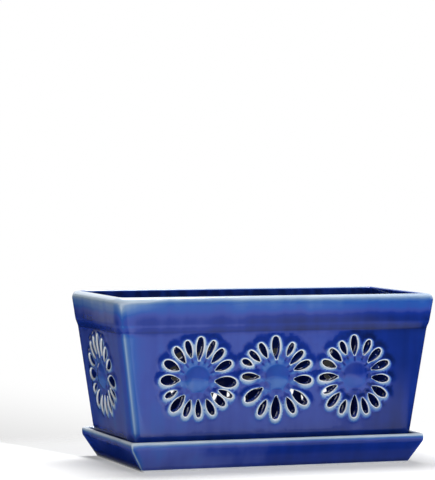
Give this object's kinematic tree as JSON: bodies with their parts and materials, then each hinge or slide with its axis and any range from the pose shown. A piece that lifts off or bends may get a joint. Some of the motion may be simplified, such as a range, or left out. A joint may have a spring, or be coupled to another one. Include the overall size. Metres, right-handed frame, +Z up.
{
  "type": "orchid pot",
  "caption": "Tapered rectangular glazed orchid pot with a rim band and pierced daisy slots that air the roots, on a flared saucer that it lifts off.",
  "frame": {"origin": "centre of the saucer's underside, on the table", "axes": "+X along the pot, -Y is the front, +Z up"},
  "size_m": [0.2826, 0.1378, 0.142],
  "materials": {
    "blue_glaze": "glossy cobalt glaze, thin and pale on the edges"
  },
  "bodies": {
    "saucer": {"saucer": "blue_glaze"},
    "pot": {"pot": "blue_glaze"}
  },
  "joints": [
    {"name": "pot_lift", "type": "slide", "parent": "saucer", "child": "pot", "axis": [0, 0, 1], "range_m": [0, 0.06]}
  ]
}
